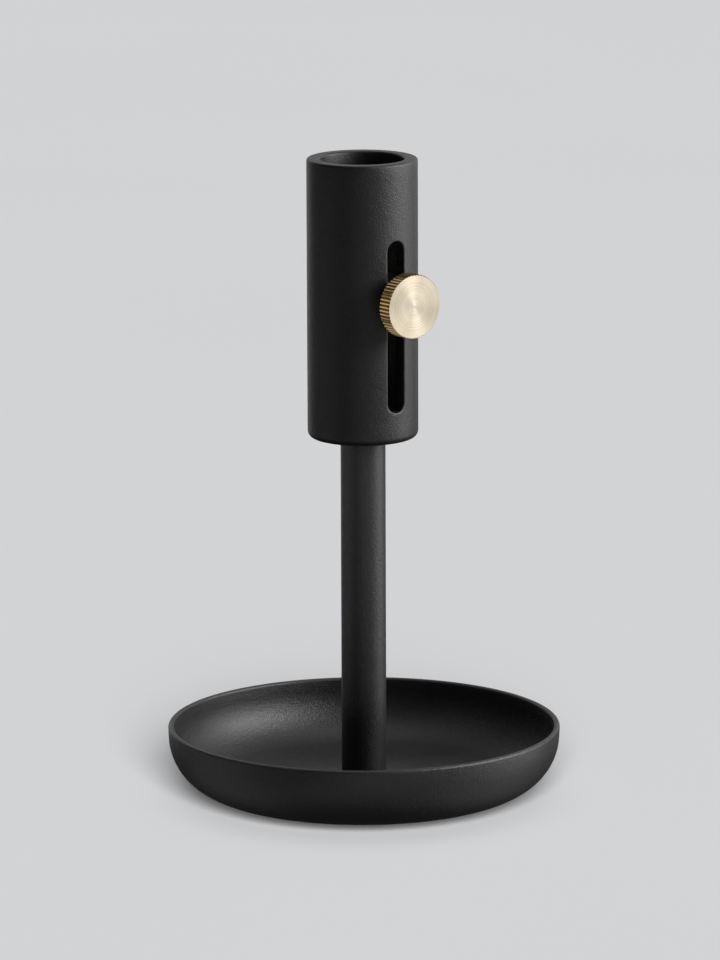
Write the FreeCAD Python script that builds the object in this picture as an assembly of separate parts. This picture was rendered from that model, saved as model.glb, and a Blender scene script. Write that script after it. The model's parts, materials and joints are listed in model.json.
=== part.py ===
"""Candlestick for one dinner candle, with a drip dish, a slim stem and a slotted tube.

A piston inside the tube carries the candle. A brass thumb knob reaches it through the slot:
loosened, it slides the candle up as it burns down, and tightened, it clamps the piston.
Units are millimetres. +Z is up, the origin is the centre of the resting face, and the slot
and the knob face -Y.
"""
import FreeCAD, Part
import math
import os
from FreeCAD import Vector

# --- resting felt and drip dish ------------------------------------------------------
FELT_THICK = 1.0
FELT_INNER_R = 19.0
FELT_OUTER_R = 28.0
DISH_RIM_R = 53.5               # outside of the rim
DISH_HEIGHT = 19.5              # underside of the floor to the top of the rim
SHEET = 1.6                     # spun steel sheet with its coating
FLOOR_R = 28.4                  # where the flat floor starts to rise
FLOOR_ARC_R = 53.0              # shallow arc that leaves the floor
FLOOR_ARC_TURN = math.radians(14.7)
WALL_TURN = math.radians(87.8)  # slope of the wall where it meets the rim
CROWN_RISE = 2.6                # raised middle, which makes room for the screw head
CROWN_FLAT_R = 8.0
CROWN_FOOT_R = 18.0
DISH_HOLE_R = 2.2

# --- stem and its two screws ---------------------------------------------------------
STEM_R = 6.1
STEM_CHAMFER = 0.4
SCREW_R = 1.98                  # M4 shank
TAPPED_R = 2.0
TAPPED_DEPTH = 13.0
DRILL_TIP = 1.2
BASE_WASHER_R = 6.0
BASE_WASHER_THICK = 1.0
BUTTON_HEAD_R = 3.8
BUTTON_HEAD_HEIGHT = 2.2
BUTTON_TOP_R = 2.3
BUTTON_EDGE = 0.3               # straight edge of the head under its dome
BASE_SCREW_LENGTH = 12.0
STEM_SCREW_LENGTH = 14.0
COUNTERSUNK_R = 3.9
COUNTERSUNK_GAP = 0.1
HEX_KEY = 2.5
HEX_DEPTH = 1.4

# --- candle tube ---------------------------------------------------------------------
TUBE_BOTTOM = 99.4 + FELT_THICK
TUBE_LENGTH = 76.3
TUBE_R = 15.0
BORE_R = 11.2
MOUTH_R = 11.4                  # eased bore that a dinner candle is pushed into
MOUTH_DEPTH = 15.0
RIM_OUTER_ROUND = 0.9
RIM_INNER_ROUND = 0.7
BOTTOM_ROUND = 2.0
BOTTOM_BEVEL = 0.3
PLUG_THICK = 5.0
PLUG_INSET = 0.3                # the plug sits this far up inside the tube
SLOT_WIDTH = 5.3
SLOT_BOTTOM = TUBE_BOTTOM + 8.8
SLOT_TOP = TUBE_BOTTOM + TUBE_LENGTH - 20.9

# --- candle platform, knob and the parts that join them ------------------------------
KNOB_Z = TUBE_BOTTOM + TUBE_LENGTH - 37.45
PLATFORM_R = 11.1
PLATFORM_HEIGHT = 10.0
PLATFORM_BEVEL = 0.6
SEAT_R = 9.6                    # shallow recess that keeps a soft candle foot centred
SEAT_DEPTH = 0.8
STUD_R = 2.48                   # M5 set screw
STUD_LENGTH = 16.0
STUD_HOLE_R = 2.55
STUD_TIP_ROOM = 1.2
STUD_BEVEL = 0.5
WASHER_R = 4.2
WASHER_HOLE_R = 2.6
WASHER_CREST = 0.6              # thickness where its hollow face meets the front of the tube
WASHER_GAP = 0.035              # left between the clamp washer and the tube
HEAD_R = 8.7
HEAD_THICK = 4.1
HEAD_BEVEL = 0.15
HEAD_FACE = 22.75               # front of the knob from the tube's axis
NECK_R = 4.0
KNOB_BORE_R = 2.5
KNOB_BORE_END = 1.4             # brass left between the stud and the front of the knob
KNURL_TEETH = 54
KNURL_DEPTH = 0.38

Z_AXIS = Vector(0, 0, 1)
FRONT = Vector(0, -1, 0)
ORIGIN = Vector(0, 0, 0)


def at(radius, height):
    """A point of a turned outline, in the XZ plane."""
    return Vector(radius, 0, height)


def arc(centre, radius, start, end):
    """Arc in the XZ plane; angle 0 points down and grows towards +X."""
    def on(angle):
        return centre + Vector(radius * math.sin(angle), 0, -radius * math.cos(angle))
    return Part.Arc(on(start), on((start + end) / 2), on(end)).toShape()


def lines(*points):
    """Straight edges through the points, in order."""
    return [Part.LineSegment(a, b).toShape() for a, b in zip(points, points[1:])]


def turned(edges):
    """Solid of revolution about Z from the edges of a closed outline."""
    wire = Part.Wire(Part.__sortEdges__(edges))
    return Part.Face(wire).revolve(ORIGIN, Z_AXIS, 360)


def turned_outline(*points):
    return turned(lines(*points, points[0]))


def rod(radius, bottom, top):
    return Part.makeCylinder(radius, top - bottom, Vector(0, 0, bottom), Z_AXIS)


def ring(inner, outer, bottom, top):
    return rod(outer, bottom, top).cut(rod(inner, bottom, top))


def hexagon(bottom, top):
    """Socket for a hexagon key."""
    across = HEX_KEY / math.sqrt(3)
    corners = [Vector(across * math.cos(math.pi / 3 * i), across * math.sin(math.pi / 3 * i), bottom)
               for i in range(7)]
    return Part.Face(Part.makePolygon(corners)).extrude(Vector(0, 0, top - bottom))


def to_knob_axis(shape):
    """Turn a part made along +Z, with z counted outwards from the tube's axis, to face -Y."""
    shape.rotate(ORIGIN, Vector(1, 0, 0), 90)
    shape.translate(Vector(0, 0, KNOB_Z))
    return shape


# --- derived places ------------------------------------------------------------------
CROWN_UNDER = FELT_THICK + CROWN_RISE
STEM_BOTTOM = CROWN_UNDER + SHEET
PLUG_BOTTOM = TUBE_BOTTOM + PLUG_INSET
PLUG_TOP = PLUG_BOTTOM + PLUG_THICK
STEM_TOP = PLUG_BOTTOM
TUBE_TOP = TUBE_BOTTOM + TUBE_LENGTH
SADDLE_R = TUBE_R + WASHER_GAP
NECK_BACK = SADDLE_R + WASHER_CREST
HEAD_BACK = HEAD_FACE - HEAD_THICK
STUD_OUTER = HEAD_FACE - KNOB_BORE_END
STUD_INNER = STUD_OUTER - STUD_LENGTH


def felt_ring():
    return ring(FELT_INNER_R, FELT_OUTER_R, 0, FELT_THICK)


def dish_surface(offset):
    """Edges of the dish's section from its hole to its rim, offset up from the underside."""
    half_run = (CROWN_FOOT_R - CROWN_FLAT_R) / 2
    turn = 2 * math.atan(CROWN_RISE / 2 / half_run)
    bend = half_run / math.sin(turn)
    top_centre = at(CROWN_FLAT_R, CROWN_UNDER - bend)
    foot_centre = at(CROWN_FOOT_R, FELT_THICK + bend)
    floor_centre = at(FLOOR_R, FELT_THICK + FLOOR_ARC_R)
    floor = arc(floor_centre, FLOOR_ARC_R - offset, 0, FLOOR_ARC_TURN)
    reach = DISH_RIM_R - FLOOR_R - FLOOR_ARC_R * math.sin(FLOOR_ARC_TURN)
    lean = math.pi / 2 - WALL_TURN
    rise = (DISH_HEIGHT - SHEET / 2 + FELT_THICK) - floor_centre.z + FLOOR_ARC_R * math.cos(FLOOR_ARC_TURN)
    # the wall's arc and its straight end together cover the reach and the rise that are left
    arc_run = math.sin(WALL_TURN) - math.sin(FLOOR_ARC_TURN)
    arc_rise = math.cos(FLOOR_ARC_TURN) - math.cos(WALL_TURN)
    radius = (reach - rise * math.tan(lean)) / (arc_run - arc_rise * math.tan(lean))
    inward = FLOOR_ARC_R - radius
    wall_centre = floor_centre + Vector(inward * math.sin(FLOOR_ARC_TURN), 0,
                                        -inward * math.cos(FLOOR_ARC_TURN))
    wall = arc(wall_centre, radius - offset, FLOOR_ARC_TURN, WALL_TURN)
    straight = (rise - radius * arc_rise) / math.cos(lean)
    wall_end = wall.Vertexes[-1].Point
    rim = wall_end + Vector(straight * math.sin(lean), 0, straight * math.cos(lean))
    edges = lines(at(DISH_HOLE_R, CROWN_UNDER + offset), at(CROWN_FLAT_R, CROWN_UNDER + offset))
    edges.append(arc(top_centre, bend + offset, math.pi, math.pi - turn))
    edges.append(arc(foot_centre, bend - offset, -turn, 0))
    edges += lines(at(CROWN_FOOT_R, FELT_THICK + offset), at(FLOOR_R, FELT_THICK + offset))
    edges += [floor, wall] + lines(wall_end, rim)
    return edges, rim


def drip_dish():
    under, rim_outside = dish_surface(0)
    over, rim_inside = dish_surface(SHEET)
    middle = (rim_outside + rim_inside) / 2
    crest = middle + Vector(math.cos(WALL_TURN), 0, math.sin(WALL_TURN)) * SHEET / 2
    rim = Part.Arc(rim_outside, crest, rim_inside).toShape()
    hole = lines(at(DISH_HOLE_R, CROWN_UNDER), at(DISH_HOLE_R, STEM_BOTTOM))
    return turned(under + over + [rim] + hole)


def base_washer():
    return ring(DISH_HOLE_R, BASE_WASHER_R, CROWN_UNDER - BASE_WASHER_THICK, CROWN_UNDER)


def base_screw():
    """Button-head screw, head down."""
    seat = CROWN_UNDER - BASE_WASHER_THICK
    face = seat - BUTTON_HEAD_HEIGHT
    edge = seat - BUTTON_EDGE
    half_way = math.pi / 4
    shoulder = at(BUTTON_TOP_R + (BUTTON_HEAD_R - BUTTON_TOP_R) * math.sin(half_way),
                  edge - (edge - face) * math.cos(half_way))
    dome = Part.Arc(at(BUTTON_HEAD_R, edge), shoulder, at(BUTTON_TOP_R, face)).toShape()
    head = turned(lines(at(0, face), at(0, seat), at(BUTTON_HEAD_R, seat), at(BUTTON_HEAD_R, edge))
                  + [dome] + lines(at(BUTTON_TOP_R, face), at(0, face)))
    shank = rod(SCREW_R, seat, seat + BASE_SCREW_LENGTH)
    return head.fuse(shank).cut(hexagon(face, face + HEX_DEPTH)).removeSplitter()


def tapped_hole(mouth, inwards):
    """Drilled and tapped blind hole along Z; inwards is +1 or -1."""
    end = mouth + inwards * TAPPED_DEPTH
    return turned_outline(at(0, mouth), at(TAPPED_R, mouth), at(TAPPED_R, end), at(0, end + inwards * DRILL_TIP))


def stem():
    bar = turned_outline(at(0, STEM_BOTTOM), at(STEM_R - STEM_CHAMFER, STEM_BOTTOM),
                         at(STEM_R, STEM_BOTTOM + STEM_CHAMFER), at(STEM_R, STEM_TOP - STEM_CHAMFER),
                         at(STEM_R - STEM_CHAMFER, STEM_TOP), at(0, STEM_TOP))
    return bar.cut(tapped_hole(STEM_BOTTOM, 1)).cut(tapped_hole(STEM_TOP, -1))


def countersunk(gap):
    """Countersunk screw head and shank, flush with the top of the plug, grown by a gap."""
    head = COUNTERSUNK_R + gap
    shank = SCREW_R + gap
    neck = PLUG_TOP - (head - shank)
    return turned_outline(at(0, PLUG_TOP), at(head, PLUG_TOP), at(shank, neck),
                          at(shank, PLUG_TOP - STEM_SCREW_LENGTH), at(0, PLUG_TOP - STEM_SCREW_LENGTH))


def tube_plug():
    return rod(BORE_R, PLUG_BOTTOM, PLUG_TOP).cut(countersunk(COUNTERSUNK_GAP))


def stem_screw():
    return countersunk(0).cut(hexagon(PLUG_TOP - HEX_DEPTH, PLUG_TOP))


def slot_cutter():
    """Round-ended bar that mills the slot through the front wall only."""
    half = SLOT_WIDTH / 2
    low = SLOT_BOTTOM + half
    high = SLOT_TOP - half
    reach = TUBE_R + 1
    bar = Part.makeBox(SLOT_WIDTH, reach, high - low, Vector(-half, -reach, low))
    for end in (low, high):
        bar = bar.fuse(Part.makeCylinder(half, reach, Vector(0, 0, end), FRONT))
    return bar


def candle_tube():
    outer_round = arc(at(TUBE_R - BOTTOM_ROUND, TUBE_BOTTOM + BOTTOM_ROUND), BOTTOM_ROUND, 0, math.pi / 2)
    rim_out = arc(at(TUBE_R - RIM_OUTER_ROUND, TUBE_TOP - RIM_OUTER_ROUND), RIM_OUTER_ROUND,
                  math.pi / 2, math.pi)
    rim_in = arc(at(MOUTH_R + RIM_INNER_ROUND, TUBE_TOP - RIM_INNER_ROUND), RIM_INNER_ROUND,
                 math.pi, math.pi * 3 / 2)
    edges = [outer_round, rim_out, rim_in]
    edges += lines(at(TUBE_R, TUBE_BOTTOM + BOTTOM_ROUND), at(TUBE_R, TUBE_TOP - RIM_OUTER_ROUND))
    edges += lines(at(TUBE_R - RIM_OUTER_ROUND, TUBE_TOP), at(MOUTH_R + RIM_INNER_ROUND, TUBE_TOP))
    edges += lines(at(MOUTH_R, TUBE_TOP - RIM_INNER_ROUND), at(MOUTH_R, TUBE_TOP - MOUTH_DEPTH),
                   at(BORE_R, TUBE_TOP - MOUTH_DEPTH), at(BORE_R, TUBE_BOTTOM + BOTTOM_BEVEL),
                   at(BORE_R + BOTTOM_BEVEL, TUBE_BOTTOM), at(TUBE_R - BOTTOM_ROUND, TUBE_BOTTOM))
    return turned(edges).cut(slot_cutter())


def candle_platform():
    """Piston with a shallow seat on top and a tapped hole for the stud in front."""
    bottom = KNOB_Z - PLATFORM_HEIGHT / 2
    top = bottom + PLATFORM_HEIGHT
    body = turned_outline(at(0, bottom), at(PLATFORM_R - PLATFORM_BEVEL, bottom),
                          at(PLATFORM_R, bottom + PLATFORM_BEVEL), at(PLATFORM_R, top - PLATFORM_BEVEL),
                          at(PLATFORM_R - PLATFORM_BEVEL, top), at(SEAT_R, top),
                          at(SEAT_R - SEAT_DEPTH, top - SEAT_DEPTH), at(0, top - SEAT_DEPTH))
    hole = rod(STUD_HOLE_R, STUD_INNER - STUD_TIP_ROOM, PLATFORM_R + 1)
    return body.cut(to_knob_axis(hole))


def clamp_washer():
    """Washer with a hollow back that fits round the tube."""
    blank = to_knob_axis(ring(WASHER_HOLE_R, WASHER_R, BORE_R, NECK_BACK))
    return blank.cut(rod(SADDLE_R, KNOB_Z - 2 * WASHER_R, KNOB_Z + 2 * WASHER_R))


def knob_stud():
    """Set screw, its hexagon socket at the inner end."""
    body = turned_outline(at(0, STUD_INNER), at(STUD_R - STUD_BEVEL, STUD_INNER),
                          at(STUD_R, STUD_INNER + STUD_BEVEL), at(STUD_R, STUD_OUTER - STUD_BEVEL),
                          at(STUD_R - STUD_BEVEL, STUD_OUTER), at(0, STUD_OUTER))
    return to_knob_axis(body.cut(hexagon(STUD_INNER, STUD_INNER + 2 * HEX_DEPTH)))


def knurl_blank():
    """Bar with straight teeth all round, as long as the head."""
    points = []
    for i in range(2 * KNURL_TEETH + 1):
        radius = HEAD_R - (KNURL_DEPTH if i % 2 else 0)
        angle = math.pi * i / KNURL_TEETH
        points.append(Vector(radius * math.cos(angle), radius * math.sin(angle), HEAD_BACK))
    return Part.Face(Part.makePolygon(points)).extrude(Vector(0, 0, HEAD_THICK))


def knob():
    bevelled = turned_outline(at(0, HEAD_BACK), at(HEAD_R - HEAD_BEVEL, HEAD_BACK),
                              at(HEAD_R + HEAD_BEVEL, HEAD_BACK + 2 * HEAD_BEVEL),
                              at(HEAD_R + HEAD_BEVEL, HEAD_FACE - 2 * HEAD_BEVEL),
                              at(HEAD_R - HEAD_BEVEL, HEAD_FACE), at(0, HEAD_FACE))
    head = knurl_blank().common(bevelled)
    neck = rod(NECK_R, NECK_BACK, HEAD_BACK)
    bore = rod(KNOB_BORE_R, NECK_BACK, STUD_OUTER)
    return to_knob_axis(head.fuse(neck).cut(bore))


PIECES = (felt_ring, drip_dish, base_washer, base_screw, stem, tube_plug, stem_screw, candle_tube,
          candle_platform, clamp_washer, knob_stud, knob)

os.makedirs("parts", exist_ok=True)
for make in PIECES:
    shape = make()
    name = make.__name__
    if not shape.isValid() or len(shape.Solids) != 1:
        raise RuntimeError(f"{name} is not one valid solid")
    shape.Solids[0].exportStep(f"parts/{name}.step")
    box = shape.BoundBox
    print(f"{name:16s} volume {shape.Volume:9.1f}  z {box.ZMin:7.2f} to {box.ZMax:7.2f}"
          f"  y {box.YMin:7.2f} to {box.YMax:7.2f}")
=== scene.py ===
import json
import math

import bpy
import bmesh
from mathutils import Matrix, Vector, noise

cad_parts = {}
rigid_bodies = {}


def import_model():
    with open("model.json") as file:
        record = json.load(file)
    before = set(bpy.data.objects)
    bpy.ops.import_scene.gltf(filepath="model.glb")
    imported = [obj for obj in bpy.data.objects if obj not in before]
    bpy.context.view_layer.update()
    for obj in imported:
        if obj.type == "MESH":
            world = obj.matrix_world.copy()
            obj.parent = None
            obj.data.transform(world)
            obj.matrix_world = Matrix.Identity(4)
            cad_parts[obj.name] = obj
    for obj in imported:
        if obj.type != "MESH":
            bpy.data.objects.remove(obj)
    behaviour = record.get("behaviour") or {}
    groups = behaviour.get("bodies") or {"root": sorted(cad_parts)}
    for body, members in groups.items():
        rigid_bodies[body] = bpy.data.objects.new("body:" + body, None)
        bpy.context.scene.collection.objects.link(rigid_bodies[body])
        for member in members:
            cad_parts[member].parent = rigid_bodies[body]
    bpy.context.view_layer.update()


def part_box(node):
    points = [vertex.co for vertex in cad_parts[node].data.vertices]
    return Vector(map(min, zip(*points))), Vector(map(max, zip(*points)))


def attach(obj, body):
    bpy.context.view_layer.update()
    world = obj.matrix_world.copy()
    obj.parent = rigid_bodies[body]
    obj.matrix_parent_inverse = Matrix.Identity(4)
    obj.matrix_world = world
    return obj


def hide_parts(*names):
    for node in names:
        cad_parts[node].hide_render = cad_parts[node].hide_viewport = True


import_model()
MM = 0.001

# === Drip dish =========================================================================
# A shallow dish spun from 1.6 mm steel sheet, with a softly rounded rim and a raised
# middle that leaves room underneath for the screw. It is sprayed with fine black powder
# and baked, which leaves a matt skin with a grain like very fine sand.

SHEET = 1.6 * MM
CROWN_FLAT_R = 8 * MM
CROWN_FOOT_R = 18 * MM
CROWN_RISE = 2.6 * MM
FLOOR_R = 28.4 * MM
FLOOR_ARC_R = 53 * MM
WALL_ARC_R = 15.5 * MM
FLOOR_TURN = math.radians(14.7)
WALL_TURN = math.radians(87.8)
DISH_HOLE_R = 2.2 * MM
POWDER_DARK = (0.004, 0.004, 0.004)
POWDER_LIGHT = (0.018, 0.0178, 0.0172)
POWDER_ROUGH, POWDER_SMOOTH = 0.49, 0.33
POWDER_IOR = 1.47
GRAINS_PER_METRE = 2400
GRAIN_HEIGHT = 0.18 * MM
dish_low, dish_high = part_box("drip_dish")


def bend(centre, radius, start, end, steps):
    """Points of an arc in a turned outline; angle 0 points down and grows outwards."""
    angles = [start + (end - start) * i / steps for i in range(steps + 1)]
    return [(centre[0] + radius * math.sin(a), centre[1] - radius * math.cos(a)) for a in angles]


def turned(name, outline, steps):
    """Closed outline of (radius, height) points, turned about Z like work on a lathe."""
    points = []
    for i in range(steps):
        angle = 2 * math.pi * i / steps
        points += [(r * math.sin(angle), -r * math.cos(angle), z) for r, z in outline]
    return finished_mesh(name, points, faces_round(len(outline), steps, len(outline)))


def faces_round(count, steps, used):
    """Faces between neighbours of an outline of count points that is repeated all the way round. The
    first used edges of the outline get faces: all of them if it is closed, and one fewer if it is open."""
    faces = []
    for i in range(steps):
        here, there = i * count, (i + 1) % steps * count
        for j in range(used):
            k = (j + 1) % count
            faces.append((here + j, there + j, there + k, here + k))
    return faces


def finished_mesh(name, points, faces, crease=40):
    """Object from points and faces: poles joined, faces outwards, edges sharp above the crease angle."""
    mesh = bpy.data.meshes.new(name)
    mesh.from_pydata(points, [], faces)
    work = bmesh.new()
    work.from_mesh(mesh)
    bmesh.ops.remove_doubles(work, verts=work.verts, dist=1e-7)
    bmesh.ops.recalc_face_normals(work, faces=work.faces)
    work.to_mesh(mesh)
    work.free()
    mesh.shade_smooth()
    mesh.set_sharp_from_angle(angle=math.radians(crease))
    piece = bpy.data.objects.new(name, mesh)
    bpy.context.scene.collection.objects.link(piece)
    return piece


def dish_side(rise):
    """The dish's section from its hole to the foot of its rim, lifted by rise off the underside."""
    floor = dish_low.z
    half_run = (CROWN_FOOT_R - CROWN_FLAT_R) / 2
    turn = 2 * math.atan(CROWN_RISE / 2 / half_run)
    crown_r = half_run / math.sin(turn)
    inward = FLOOR_ARC_R - WALL_ARC_R
    wall_centre = (FLOOR_R + inward * math.sin(FLOOR_TURN),
                   floor + FLOOR_ARC_R - inward * math.cos(FLOOR_TURN))
    side = [(DISH_HOLE_R, floor + CROWN_RISE + rise)]
    side += bend((CROWN_FLAT_R, floor + CROWN_RISE - crown_r), crown_r + rise, math.pi, math.pi - turn, 8)
    side += bend((CROWN_FOOT_R, floor + crown_r), crown_r - rise, -turn, 0, 8)
    side += bend((FLOOR_R, floor + FLOOR_ARC_R), FLOOR_ARC_R - rise, 0, FLOOR_TURN, 8)
    side += bend(wall_centre, WALL_ARC_R - rise, FLOOR_TURN, WALL_TURN, 18)[1:]
    return side


def dish_outline():
    """Out along the underside, round the rim, and back along the inside."""
    under, over = dish_side(0), dish_side(SHEET)
    middle = (dish_high.x - SHEET / 2, dish_high.z - SHEET / 2)
    crest = bend(middle, SHEET / 2, math.pi / 2, 3 * math.pi / 2, 10)
    return under + crest + over[::-1]


def place(tree, kind, settings=(), **inputs):
    """A shader node. An input is a value or another node's output, and is given by its name, with
    underscores for spaces, or by its number after an i."""
    made = tree.nodes.new(kind)
    for key, value in dict(settings).items():
        setattr(made, key, value)
    for key, value in inputs.items():
        numbered = key[0] == "i" and key[1:].isdigit()
        socket = made.inputs[int(key[1:]) if numbered else key.replace("_", " ")]
        if isinstance(value, bpy.types.NodeSocket):
            tree.links.new(value, socket)
        else:
            socket.default_value = value
    return made


def effect(name, inputs, outputs):
    """Empty node group with named float inputs, a Place vector, and float outputs."""
    tree = bpy.data.node_groups.new(name, "ShaderNodeTree")
    tree.interface.new_socket("Place", in_out="INPUT", socket_type="NodeSocketVector")
    for label, value in inputs.items():
        tree.interface.new_socket(label, in_out="INPUT", socket_type="NodeSocketFloat").default_value = value
    for label in outputs:
        tree.interface.new_socket(label, in_out="OUTPUT", socket_type="NodeSocketFloat")
    return tree, tree.nodes.new("NodeGroupInput").outputs, tree.nodes.new("NodeGroupOutput").inputs


def scaled(tree, value, factor):
    """A value times a factor, either of which may be another node's output."""
    return place(tree, "ShaderNodeMath", {"operation": "MULTIPLY"}, i0=value, i1=factor).outputs[0]


def added(tree, one, other):
    """The sum of two values."""
    return place(tree, "ShaderNodeMath", {"operation": "ADD"}, i0=one, i1=other).outputs[0]


def spread(tree, value, low, high, to_low, to_high):
    """Stretch the part of a value between low and high over another range."""
    return place(tree, "ShaderNodeMapRange", Value=value, From_Min=low, From_Max=high,
                 To_Min=to_low, To_Max=to_high).outputs["Result"]


def blended(tree, share, first, second):
    """Colour between two colours."""
    mix = place(tree, "ShaderNodeMix", {"data_type": "RGBA"}, Factor=share)
    mix.inputs[6].default_value = (*first, 1)
    mix.inputs[7].default_value = (*second, 1)
    return mix.outputs[2]


def make_powder_grain():
    """Grain of sprayed and baked powder: fine sand, a slow orange peel, and sparse lighter specks that are
    painted glints.
    """
    tree, given, out = effect("powder_grain", {"Grains per Metre": GRAINS_PER_METRE},
                              ("Height", "Painted Glints", "Cloud"))
    fine = place(tree, "ShaderNodeTexNoise", Vector=given["Place"], Scale=given["Grains per Metre"],
                 Detail=3, Roughness=0.65).outputs["Fac"]
    peel = place(tree, "ShaderNodeTexNoise", Vector=given["Place"],
                 Scale=scaled(tree, given["Grains per Metre"], 0.28), Detail=2).outputs["Fac"]
    glint_cells = place(tree, "ShaderNodeTexVoronoi", Vector=given["Place"],
                   Scale=scaled(tree, given["Grains per Metre"], 0.8)).outputs["Distance"]
    cloud = place(tree, "ShaderNodeTexNoise", Vector=given["Place"], Scale=55, Detail=4).outputs["Fac"]
    tree.links.new(added(tree, scaled(tree, fine, 0.7), scaled(tree, peel, 0.3)), out["Height"])
    tree.links.new(spread(tree, glint_cells, 0.28, 0.05, 0, 1), out["Painted Glints"])
    tree.links.new(cloud, out["Cloud"])
    return tree


powder_grain = make_powder_grain()


def new_material(name):
    """Material with its tree, its Principled shader and the place on the piece that its textures follow."""
    material = bpy.data.materials.new(name)
    material.use_nodes = True
    tree = material.node_tree
    shader = tree.nodes["Principled BSDF"]
    return material, tree, shader, tree.nodes.new("ShaderNodeTexCoord").outputs["Object"]


def use_group(tree, group, **inputs):
    """Outputs of a node group placed in a material, with its own values."""
    node = place(tree, "ShaderNodeGroup", {"node_tree": group})
    for key, value in inputs.items():
        socket = node.inputs[key.replace("_", " ")]
        if isinstance(value, bpy.types.NodeSocket):
            tree.links.new(value, socket)
        else:
            socket.default_value = value
    return node.outputs


def raised(tree, shader, height, depth):
    """Let a height pattern shape the surface, depth metres from its lowest to its highest."""
    bump = place(tree, "ShaderNodeBump", Height=height, Distance=depth, Strength=1)
    tree.links.new(bump.outputs["Normal"], shader.inputs["Normal"])


def make_powder_coat(name):
    """Matt black skin: specks a little lighter than the rest as painted glints, and crests smoother than the
    hollows.
    """
    material, tree, shader, at = new_material(name)
    grain = use_group(tree, powder_grain, Place=at, Grains_per_Metre=GRAINS_PER_METRE)
    # The specks lighten the colour as painted glints; the cloud is random tone.
    tone = added(tree, scaled(tree, grain["Painted Glints"], 0.55), scaled(tree, grain["Cloud"], 0.35))
    tree.links.new(blended(tree, tone, POWDER_DARK, POWDER_LIGHT), shader.inputs["Base Color"])
    by_height = spread(tree, grain["Height"], 0.3, 0.7, POWDER_ROUGH, POWDER_SMOOTH)
    dull = added(tree, by_height, scaled(tree, grain["Cloud"], 0.06))
    tree.links.new(dull, shader.inputs["Roughness"])
    shader.inputs["IOR"].default_value = POWDER_IOR
    raised(tree, shader, grain["Height"], GRAIN_HEIGHT)
    return material


powder_coat = make_powder_coat("black_powder_coat")
drip_dish = turned("dish", dish_outline(), 256)
drip_dish.data.materials.append(powder_coat)
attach(drip_dish, "base")
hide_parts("drip_dish")

# === Stem ==============================================================================
# A 12 mm steel bar, faced square and lightly bevelled at both ends, tapped M4 in each end.
# The same black powder covers it. It stands on the dish's raised middle.

STEM_BEVEL = 0.4 * MM
STEM_ROWS = 24
stem_low, stem_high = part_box("stem")


def stem_outline():
    """A solid bar with rounded ends, and rows along its side."""
    radius, low, high = stem_high.x, stem_low.z, stem_high.z
    side = high - low - 2 * STEM_BEVEL
    outline = [(0, low)] + bend((radius - STEM_BEVEL, low + STEM_BEVEL), STEM_BEVEL, 0, math.pi / 2, 4)
    outline += [(radius, low + STEM_BEVEL + side * i / STEM_ROWS) for i in range(1, STEM_ROWS)]
    outline += bend((radius - STEM_BEVEL, high - STEM_BEVEL), STEM_BEVEL, math.pi / 2, math.pi, 4)
    return outline + [(0, high)]


stem = turned("stem_bar", stem_outline(), 96)
stem.data.materials.append(powder_coat)
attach(stem, "base")
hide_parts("stem")

# === Base screw and washer =============================================================
# An M4 button-head screw with a hexagon socket, and a plain washer, hold dish and stem
# together from below. Both are pressed or turned from steel and plated with zinc.

SCREW_STEPS = 96
THREAD_DEPTH = 0.42 * MM
ROWS_PER_PITCH = 8
M4_PITCH = 0.7 * MM
HEX_CORNER_R = 1.44 * MM        # from the centre of the key socket to a corner
HEX_DEPTH = 1.4 * MM
HEX_CHAMFER = 0.08 * MM
BUTTON_R = 3.8 * MM
BUTTON_FACE_R = 2.3 * MM
BUTTON_EDGE = 0.3 * MM
BUTTON_THICK = 2.2 * MM
M4_R = 1.98 * MM
M4_TIP = 0.4 * MM               # taper at the end of a screw, and plain shank under its head
HOLE_ROUND = 0.15 * MM          # the washer's edges, as the press leaves them
RIM_ROUND = 0.2 * MM
ZINC_DARK = (0.50, 0.50, 0.49)
ZINC_LIGHT = (0.72, 0.72, 0.70)
washer_low, washer_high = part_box("base_washer")
screw_low, screw_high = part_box("base_screw")


def socket_corner(angle):
    """Distance from the centre to the side of a hexagon socket, in a given direction."""
    return HEX_CORNER_R * math.cos(math.pi / 6) / math.cos(angle % (math.pi / 3) - math.pi / 6)


def threaded(name, outline, radius, pitch, thread):
    """Turned work with a thread cut between two heights. Rows of its open outline whose radius is None
    follow the sides of a hexagon socket."""
    points = []
    for i in range(SCREW_STEPS):
        angle = 2 * math.pi * i / SCREW_STEPS
        for r, z in outline:
            if r is None:
                r = socket_corner(angle)
            elif thread[0] < z < thread[1] and abs(r - radius) < 1e-6:
                turn = (z / pitch - i / SCREW_STEPS) % 1
                fade = min(1, (z - thread[0]) / pitch, (thread[1] - z) / pitch)
                r -= THREAD_DEPTH * fade * min(1, abs(2 * turn - 1) * 1.15)
            points.append((r * math.sin(angle), -r * math.cos(angle), z))
    faces = faces_round(len(outline), SCREW_STEPS, len(outline) - 1)
    return finished_mesh(name, points, faces, crease=50)


def thread_rows(radius, low, high, pitch):
    """Outline rows close enough together to show a thread."""
    count = round((high - low) / pitch * ROWS_PER_PITCH)
    return [(radius, low + (high - low) * i / count) for i in range(count + 1)]


def make_plated_zinc():
    """Bright zinc plating: satin metal with a slow mottle and fine scratches."""
    material, tree, shader, at = new_material("zinc_plate")
    mottle = place(tree, "ShaderNodeTexNoise", Vector=at, Scale=900, Detail=5).outputs["Fac"]
    streaks = place(tree, "ShaderNodeTexNoise", Vector=at, Scale=5200, Detail=2).outputs["Fac"]
    tree.links.new(blended(tree, mottle, ZINC_DARK, ZINC_LIGHT), shader.inputs["Base Color"])
    tree.links.new(spread(tree, mottle, 0.3, 0.7, 0.26, 0.42), shader.inputs["Roughness"])
    shader.inputs["Metallic"].default_value = 1
    raised(tree, shader, streaks, 0.004 * MM)
    return material


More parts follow.
